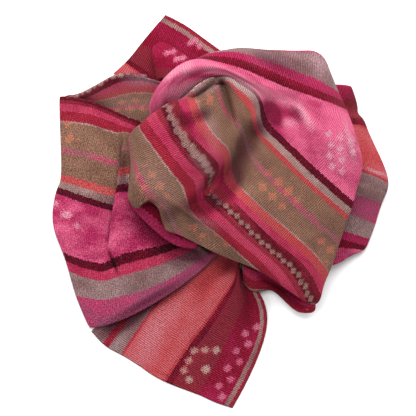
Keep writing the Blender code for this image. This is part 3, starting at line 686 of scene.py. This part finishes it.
# Shade marks on the middle: mostly painted shade in the valleys, creases and hollows, under the
# hood's rim and under the arch, some deeper dye, and negative marks as painted light where the
# cloth lies in shade.
MIDDLE_SHADES_AND_DYES = [
    Patch(-22, 98, 24, 5, 35, 0.3), Patch(-6, 123, 22, 5.5, 0, 0.85),
    Patch(62, 84, 18, 8, -70, 0.9), Patch(58, 92, 18, 11, -40, 0.9), Patch(80, 90, 14, 9, -30, 0.6),
    Patch(84, 83, 16, 10, -30, 0.45), Patch(78, 122, 50, 8, -27, 0.6),
    Patch(47, 76, 10, 12, 0, 0.55), Patch(120, 70, 16, 30, 0, -0.4),
    Patch(55, -42, 60, 13, -42, -0.7), Patch(-46, 28, 36, 20, -50, -0.8),
    Patch(-30, 128, 44, 8, 15, -0.8), Patch(-16, 112, 26, 9, 20, -0.8),
    Patch(31, 50, 46, 17, 66, 0.95), Patch(16, 16, 26, 15, 60, 0.9),
    Patch(-20, 2, 36, 15, -22, 0.85), Patch(-4, 6, 18, 13, 0, 0.6), Patch(8, 74, 28, 14, -75, -0.9),
    Patch(74, 136, 54, 13, -14, 0.75), Patch(-56, 4, 10, 6, 30, 1.0),
    Patch(-26, 84, 26, 9, -60, 0.6), Patch(-10, 85, 26, 11, 12, 0.75), Patch(0, 86, 14, 11, 0, 0.7),
    Patch(-38, -8, 14, 12, 0, 0.7),
]
middle = sheet_piece(
    "middle_stretch", MIDDLE, Fold(AROUND, radius=2.0, reach=3, start_gap=24, end_gap=44),
    cloth_material("middle_cloth", ribs=0.42, flecks=0.34), grid=(130, 170), square_at=0.3,
    creases=MIDDLE_CREASES, motifs=MIDDLE_PATCHES, shades_and_dyes=MIDDLE_SHADES_AND_DYES, blooms_and_highlights=MIDDLE_BLOOM_AND_HIGHLIGHT,
)
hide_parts("middle")

# The fanned short end of the scarf lies face up on the left. A soft tuck runs down it, and its
# near side is folded over the near corner.
FrontLine = namedtuple("FrontLine", "across hem outer inner hollow pleat crown hip hidden")
FRONT = [
    FrontLine(-4, (-138.6, 103, 12), (-122, 101, 21), (-104, 96, 27), (-88, 89, 30), (-77, 84, 32),
              (-66, 80, 32), (-55, 76, 29), (-45, 70, 25)),
    FrontLine(-21, (-138.4, 91, 9), (-122, 90, 19), (-104, 86, 26), (-88, 80, 29), (-78, 76, 31),
              (-67, 72, 31), (-56, 67, 28), (-46, 61, 25)),
    FrontLine(-52, (-137.4, 59, 7), (-122, 56, 16), (-101, 51, 23), (-80, 47, 22), (-80, 58, 30),
              (-70, 57, 31), (-58, 52, 28), (-46, 46, 25)),
    FrontLine(-77, (-137.6, 27, 6), (-123, 23, 15), (-103, 17, 22), (-80, 13, 20), (-84, 29, 29),
              (-74, 34, 31), (-60, 33, 28), (-46, 29, 25)),
    FrontLine(-89, (-141, 17, 5), (-125, 11, 14), (-106, 5, 21), (-83, 1, 19), (-86, 15, 28),
              (-76, 19, 30), (-61, 18, 28), (-46, 14, 25)),
    FrontLine(-118, (-145, -12, 5), (-129, -16, 13), (-110, -20, 19), (-90, -22, 18),
              (-91, -15, 25), (-79, -8, 27), (-61, -9, 26), (-43, -13, 24)),
    FrontLine(-148, (-134, -47, 5), (-122, -52, 11), (-108, -56, 15), (-98, -57, 15),
              (-91, -54, 18), (-74, -48, 20), (-46, -41, 21), (-14, -31, 21)),
    FrontLine(-178, (-123, -83, 5), (-111, -86, 10), (-100, -87, 13), (-91, -86, 14),
              (-82, -84, 15), (-61, -78, 16), (-32, -65, 19), (0, -42, 21)),
    FrontLine(-196, (-111, -111, 3.8), (-101, -110, 7), (-90, -107, 9.8), (-80, -103, 12),
              (-69, -98, 13), (-49, -87, 15), (-20, -68, 19), (9, -43, 21)),
]
FRONT_CREASES = [
    Crease((-94, -40), (-83, -67), 1.8, 4.5), Crease((-86, 2), (-94, -44), 3.0, 3.0),
    Crease((-128, 60), (-126, 20), 12, -1.2), Crease((-118, -60), (-96, -96), 9, 1.4),
    Crease((-80, -82), (-62, -76), 5, 1.6), Crease((-70, -60), (-40, -58), 8, -1.2),
]
FRONT_PATCHES = [
    Patch(-131, 72, 14, 10, -70), Patch(-110, 98, 60, 16, -22, -1.0),
    *block_row((-143, 4), (6.4, -5.4), (1.0, -4.5), 4, 6.2, 2.1),
]
# Shade marks on the fanned end: deeper dye over its pinks, and painted shade beside the tuck, under
# the middle's edge and along its folded-over near side.
FRONT_SHADES_AND_DYES = [
    Patch(-110, -20, 70, 70, 0, 0.2), Patch(-58, -14, 36, 30, -60, 0.4),
    Patch(-46, -28, 44, 16, -38, 0.7), Patch(-80, 38, 7, 26, 0, 0.8),
    Patch(-112, -10, 36, 24, 10, 0.35), Patch(-112, 11, 30, 10, -8, 0.35),
    Patch(-104, -45, 18, 6, 0, 0.55), Patch(-118, -70, 14, 8, 0, 0.5),
    Patch(-18, -42, 30, 9, -20, 0.8), Patch(-88, -53, 2.6, 15, 21, 1.0),
    Patch(-58, -88, 74, 7, 30, 0.95), Patch(-40, -52, 50, 15, 15, 0.5),
]
front = sheet_piece(
    "fanned_end", FRONT, Fold(AROUND, radius=1.5, reach=3, start_gap=4, end_gap=12),
    cloth_material("front_cloth", ribs=0.18, flecks=0.56), grid=(120, 90), square_at=0.3,
    creases=FRONT_CREASES, motifs=FRONT_PATCHES, shades_and_dyes=FRONT_SHADES_AND_DYES,
)
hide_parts("end_front")

# The back face of the same end shows in the lens between the two layers on the left. It is the
# same cloth with its other face up, and only its far edge is rolled under.
BackLine = namedtuple("BackLine", "across corner outer ridge far hidden inner")
BACK = [
    BackLine(4, (-137, 102.5, 8), (-121, 104, 16), (-98, 116, 25), (-80, 123, 30), (-55, 121, 32),
             (-36, 115, 31)),
    BackLine(18, (-134, 103.5, 8), (-114, 102.5, 13), (-95, 109, 20), (-76, 115.5, 24),
             (-54, 115, 27), (-37, 109, 27)),
    BackLine(31, (-131, 102, 6), (-109, 100.5, 12), (-92, 103.5, 16), (-74, 108, 19),
             (-54, 108, 22), (-38, 103, 23)),
    BackLine(48, (-126, 98, 5), (-104, 96, 9), (-89, 97, 13), (-72, 100, 15), (-54, 99, 18),
             (-40, 95, 19)),
    BackLine(62, (-120, 92, 4), (-100, 90, 8), (-86, 90, 11), (-70, 91, 13), (-55, 90, 16),
             (-43, 87, 17)),
    BackLine(78, (-113, 83, 3), (-95, 79, 6), (-82, 77, 8), (-68, 77, 11), (-55, 76, 13),
             (-44, 74, 14)),
]
back = sheet_piece(
    "end_back_face", BACK, Fold(("first_row",), radius=1.8, reach=4, start_gap=4, end_gap=12),
    cloth_material("back_cloth", ribs=0.24, flecks=0.4), grid=(50, 60), square_at=0.5,
    motifs=[
        Patch(-74, 97, 20, 12, 10), Patch(-98, 115, 26, 9, 25, 0.5),
        Patch(-64, 123, 16, 6, 0, -1.0),
    ],
    # Its shade and pale marks are painted light that lifts the lens out of the heap's shade.
    shades_and_dyes=[Patch(-84, 100, 50, 26, 10, -0.7)],
    blooms_and_highlights=[Patch(-62, 120, 20, 7, 0, 0.5), Patch(-84, 100, 50, 20, 10, 0.16)],
)
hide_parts("end_back")

# The far corner of the short end lies flat on the surface behind the heap. It is one thin layer
# with plain edges and two soft creases.
CornerLine = namedtuple("CornerLine", "across hem outer inner far hidden")
FAR_CORNER = [
    CornerLine(355, (-40, 182, 1), (-21, 172, 2), (-3, 159, 5), (12, 148, 10), (25, 138, 15)),
    CornerLine(344, (-48, 173, 1), (-28, 163, 2), (-10, 150, 6), (4, 140, 11), (17, 130, 16)),
    CornerLine(320, (-63, 155, 1), (-43, 146, 3), (-26, 134, 7), (-12, 124, 12), (0, 116, 16)),
    CornerLine(293, (-76, 139, 1), (-60, 128, 3), (-46, 116, 7), (-32, 107, 11), (-20, 99, 14)),
    CornerLine(262, (-89, 127, 1), (-76, 116, 3), (-62, 105, 6), (-48, 96, 9), (-36, 88, 12)),
]
far_corner = sheet_piece(
    "far_corner_cloth", FAR_CORNER, None,
    cloth_material("far_corner_cloth", ribs=0.38, flecks=0.36), grid=(60, 48), square_at=0.1,
    creases=[Crease((-78, 132), (-60, 118), 5, -1.0), Crease((-52, 150), (-40, 132), 5, 0.8)],
    motifs=block_row((-17, 155), (4.6, -1.6), (0.5, 4.6), 3, 4.6, 2.8),
)
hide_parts("far_corner")

# A second layer of that corner is doubled back over the first. Its left and far edges are
# rolled under, and the rest of it runs in under the hood of the middle.
DoubledLine = namedtuple("DoubledLine", "across side outer inner hidden")
DOUBLED = [
    DoubledLine(346, (-51, 151, 12), (-42, 155, 14), (-26, 146, 17), (-8, 134, 22)),
    DoubledLine(337, (-51, 144, 16), (-38, 146, 21), (-23, 138, 25), (-6, 126, 29)),
    DoubledLine(325, (-49, 134, 18), (-36, 135, 25), (-20, 128, 30), (-4, 117, 33)),
    DoubledLine(306, (-47, 121, 18), (-34, 122, 26), (-18, 115, 31), (-2, 105, 34)),
]
doubled = sheet_piece(
    "doubled_layer", DOUBLED, Fold(AROUND[1:], radius=1.6, reach=2, end_gap=3),
    cloth_material("doubled_cloth", ribs=0.26, flecks=0.4), grid=(40, 36), square_at=0.3,
    motifs=block_row((-39, 145), (4.6, -3.0), (2.0, 5.0), 6, 4.8, 2.4),
)
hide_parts("doubled_corner")

# The near corner of the short end lies flat on the surface, and runs up under the heap. It is
# one thin layer with plain edges, and the red border of the cloth runs up its right side.
TailLine = namedtuple("TailLine", "across hem outer middle inner far hidden")
TAIL = [
    TailLine(-355, (23, -188.5, 1), (39.3, -158.3, 1), (53.2, -122, 3), (55, -97, 5), (48, -79, 5),
             (36, -63, 6)),
    TailLine(-344, (12, -185, 1), (29, -154, 1), (44, -120, 2), (46, -96, 3), (40, -78, 4),
             (32, -61, 6)),
    TailLine(-332, (2, -181, 1), (19, -149, 2), (34, -115, 4), (39, -92, 4), (34, -74, 6),
             (30, -57, 9)),
    TailLine(-320, (-9, -176, 1), (10, -143, 3), (25, -111, 8), (33, -88, 12), (30, -71, 15),
             (29, -54, 16)),
    TailLine(-288, (-40, -164, 1), (-19, -131, 5), (0, -106, 11), (15, -84, 15), (25, -67, 16.5),
             (29, -49, 17)),
    TailLine(-264, (-61, -151.5, 1), (-39, -120, 4), (-20, -92, 10), (-4, -72, 14), (10, -57, 15),
             (19, -44, 16)),
    TailLine(-243, (-80.5, -139, 1), (-60, -109, 4), (-41, -82, 8), (-22, -61, 11), (-5, -47, 13),
             (9, -36, 14)),
    TailLine(-222, (-96.5, -130, 1), (-77, -104, 3), (-60, -82, 6), (-42, -62, 8), (-24, -49, 10),
             (-8, -38, 12)),
    TailLine(-205, (-110, -116, 1), (-93, -97, 3), (-76, -76, 5), (-58, -57, 7), (-40, -45, 9),
             (-23, -36, 11)),
]
TAIL_CREASES = [
    Crease((28, -74), (46, -132), 3, 2.5), Crease((-20, -150), (10, -100), 9, 1.0),
    Crease((-50, -130), (-20, -90), 10, -0.8),
]
ARC_MIDDLE = (-2, -152)
ARC_BLOCKS = 6
ARC_RADIUS = 19.5
ARC_ZIGZAG = 1.2
ARC_START = 62
ARC_STEP = 30
TAIL_MOTIFS = [Patch(*ARC_MIDDLE, 6.2, 5.8, 30, 2.9)]
for k in range(ARC_BLOCKS):
    away = ARC_RADIUS + ARC_ZIGZAG * (-1) ** k
    turn = radians(ARC_START + ARC_STEP * k)
    x, y = ARC_MIDDLE[0] + away * cos(turn), ARC_MIDDLE[1] + away * sin(turn)
    TAIL_MOTIFS.append(Patch(x, y, 5.6, 5.0, 30, 2.9))
TAIL_MOTIFS += block_row((46, -112), (-4.1, -8.2), (-7.0, 2.0), 9, 5.6, 2.8)
# Shade marks on the near corner: painted shade under the fanned end's hem, in the crevice under the
# heap and along its lower edges; the two weak negative marks lean its stripes to their first yarn.
TAIL_SHADES_AND_DYES = [
    Patch(-4, -78, 48, 12, 58, 0.5), Patch(-46, -116, 50, 16, 58, -0.3),
    Patch(24, -124, 60, 18, 58, -0.3), Patch(-56, -91, 72, 14, 29, 1.0),
    Patch(-28, -164, 60, 4, -27, 0.6), Patch(42, -142, 46, 4, 62, 0.5),
    Patch(-84, -112, 30, 14, 29, 0.5), Patch(24, -54, 18, 14, 0, 0.9),
]
TAIL_BLOOM = [Patch(-50, -116, 60, 12, 58, 0.22)]
tail = sheet_piece(
    "near_corner_cloth", TAIL, None,
    cloth_material("near_corner_cloth", ribs=0.44, flecks=0.38), grid=(120, 100), square_at=0.3,
    creases=TAIL_CREASES, motifs=TAIL_MOTIFS, shades_and_dyes=TAIL_SHADES_AND_DYES, blooms_and_highlights=TAIL_BLOOM,
)
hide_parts("near_corner")

# The dark layer comes back under the middle from its pointed fold at the near right. Its tip and
# near edge are rolled under, and one deep crease runs down it.
ReturnLine = namedtuple("ReturnLine", "across tip outer inner rim far hidden")
RETURN = [
    ReturnLine(-34, (93, -93, 11), (82, -92, 8), (68, -82, 7.6), (56, -77, 8), (42, -77.5, 7.6),
               (33, -69, 8.2)),
    ReturnLine(-29, (96, -98, 14.5), (84.5, -97, 11), (70.5, -85, 10), (56, -75, 10.5),
               (42, -74.5, 10), (33, -67, 10.4)),
    ReturnLine(-18, (99, -91, 17), (85, -86, 17), (69, -74, 17), (54, -66, 17), (42, -64, 18),
               (33, -59, 19)),
    ReturnLine(-4, (94, -80, 20), (81, -74, 22), (66, -63, 22), (52, -56, 22), (42, -53, 22),
               (33, -50, 22)),
]
under_fold = sheet_piece(
    "return_fold", RETURN, Fold(AROUND[1:], radius=1.5, reach=2),
    cloth_material("return_cloth", ribs=0.24, flecks=0.4), grid=(40, 60), square_at=0.5,
    creases=[Crease((92, -86), (46, -62), 3, 4)],
    # Painted shade darkens the fold along its crease and towards its near edge.
    shades_and_dyes=[Patch(60, -66, 44, 9, -38, 0.9), Patch(66, -84, 36, 12, -25, 0.6)],
)
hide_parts("return_layer")

# Under the arch at the near left of the middle lies one more layer. Its near edge is rolled
# under, and the rest of it runs in under the arch, where its deep shade is painted shade.
RollLine = namedtuple("RollLine", "across side outer inner far hidden")
ROLL = [
    RollLine(157, (-71, 3, 36), (-62, -7, 35), (-45, -23, 33), (-28, -34, 32), (-12, -37, 31)),
    RollLine(150, (-66, 9, 38), (-55, 1, 38), (-38, -13, 36), (-22, -24, 35), (-7, -31, 34)),
    RollLine(139, (-57, 17, 40), (-46, 9, 40), (-30, -4, 38), (-15, -14, 37), (-1, -22, 36)),
]
roll = sheet_piece(
    "roll_under_arch", ROLL, Fold(("first_row",), radius=1.8, reach=4),
    cloth_material("roll_cloth", ribs=0.2, flecks=0.4), grid=(30, 60), square_at=0.5,
    shades_and_dyes=[Patch(-40, 2, 34, 10, -40, 0.6), Patch(-34, -14, 60, 36, -38, 0.75)],
)
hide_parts("roll_layer")

# The rest of the length lies low on the right, and runs in under the middle. Its outer side and
# both its ends are rolled under, and two shallow creases cross it.
RightLine = namedtuple("RightLine", "across outer brow inner hidden")
RIGHT = [
    RightLine(132, (140, -42, 9), (131, -46, 13), (118, -52, 16), (101, -49, 19)),
    RightLine(148, (147, -38, 7), (135, -36, 15), (121, -33, 20), (104, -27, 23)),
    RightLine(160, (151, -30, 6), (139, -27, 16), (124, -22, 22), (107, -16, 26)),
    RightLine(178, (157, -14, 6), (145, -9, 17), (130, -3, 24), (113, 4, 28)),
    RightLine(204, (163, 5, 6), (151, 9, 17), (136, 14, 26), (118, 21, 30)),
    RightLine(240, (169, 23, 6), (157, 29, 18), (140, 35, 27), (121, 41, 31)),
    RightLine(262, (162, 47, 5), (152, 51, 17), (138, 57, 26), (119, 62, 31)),
    RightLine(286, (149.8, 73.8, 5), (142, 76, 15), (131, 77, 23), (115, 79, 29)),
    RightLine(295, (145.4, 83.8, 5), (139, 84, 14), (129, 85, 22), (114, 86, 28)),
    RightLine(300, (141, 89, 4), (136, 89, 13), (127, 90, 21), (112, 91, 27)),
    RightLine(312, (140, 96, 4), (134, 97, 13), (125, 97, 20), (110, 98, 26)),
    RightLine(335, (134.6, 113.6, 4), (127.4, 114.6, 11), (118.3, 114.4, 17), (105, 112, 23)),
]
right = sheet_piece(
    "right_stretch", RIGHT, Fold(AROUND, radius=1.4, reach=4, start_gap=6, end_gap=6),
    cloth_material("right_flap_cloth", ribs=0.24, flecks=0.5), grid=(120, 40), square_at=0.3,
    creases=[Crease((136, 96), (122, 92), 4, 1.5), Crease((150, 60), (138, 52), 6, 1.0)],
    shades_and_dyes=[
        Patch(150, 52, 24, 20, 0, 0.45), Patch(134, 102, 26, 20, 0, 0.9),
        Patch(146, 10, 40, 24, 0, 0.5), Patch(131, -42, 14, 8, 0, 0.6),
    ],
    blooms_and_highlights=[Patch(160, 33, 14, 1.6, 160, 0.8)],
)
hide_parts("right_flap")

# The layers hidden inside the heap show only at its sides, as rounded folds one on another. They
# are a copy of the solid core, drawn in between one fold and the next.
FOLD_HEIGHT = 0.0042
FOLD_INSET = 0.0016
FOLD_WAVES = (0.0008, 0.0006)
CORE_RADIUS = 0.03
FOOT = 0.0005
SIDE_STRIPES = 0.294
SIDE_SWAY = 0.008
SIDE_RISE = 0.3
SIDE_RADIUS = 0.13
layers_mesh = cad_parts["folded_layers"].data.copy()
layers = bpy.data.objects.new("hidden_folds", layers_mesh)
bpy.context.scene.collection.objects.link(layers)
shape = bmesh.new()
shape.from_mesh(layers_mesh)
bmesh.ops.remove_doubles(shape, verts=shape.verts, dist=0.00001)
bmesh.ops.subdivide_edges(shape, edges=shape.edges, cuts=1, use_grid_fill=True)
bmesh.ops.triangulate(shape, faces=shape.faces)
for point in shape.verts:
    turn = np.arctan2(point.co.y, point.co.x)
    wave = FOLD_WAVES[0] * sin(3 * turn + 1.0) + FOLD_WAVES[1] * sin(7 * turn)
    round_off = abs(sin(pi * (point.co.z + wave) / FOLD_HEIGHT))
    out = Vector((point.co.x, point.co.y, 0))
    if out.length > CORE_RADIUS and point.co.z > FOOT:
        point.co -= out.normalized() * FOLD_INSET * (1 - round_off)
shape.to_mesh(layers_mesh)
shape.free()
layers_mesh.materials.clear()
layers_mesh.materials.append(cloth_material("layers_cloth", ribs=0.1, flecks=0.5))
cloth = layers_mesh.uv_layers.new(name="cloth")
for corner in layers_mesh.loops:
    spot = layers_mesh.vertices[corner.vertex_index].co
    turn = np.arctan2(spot.y, spot.x)
    depth = SIDE_STRIPES + SIDE_SWAY * sin(2 * turn) + spot.z * SIDE_RISE
    cloth.data[corner.index].uv = (turn * SIDE_RADIUS, depth)
for label in MARKS:
    layers_mesh.attributes.new(label, "FLOAT", "POINT")
layers_mesh.polygons.foreach_set("use_smooth", [True] * len(layers_mesh.polygons))
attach(layers, "root")
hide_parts("folded_layers")
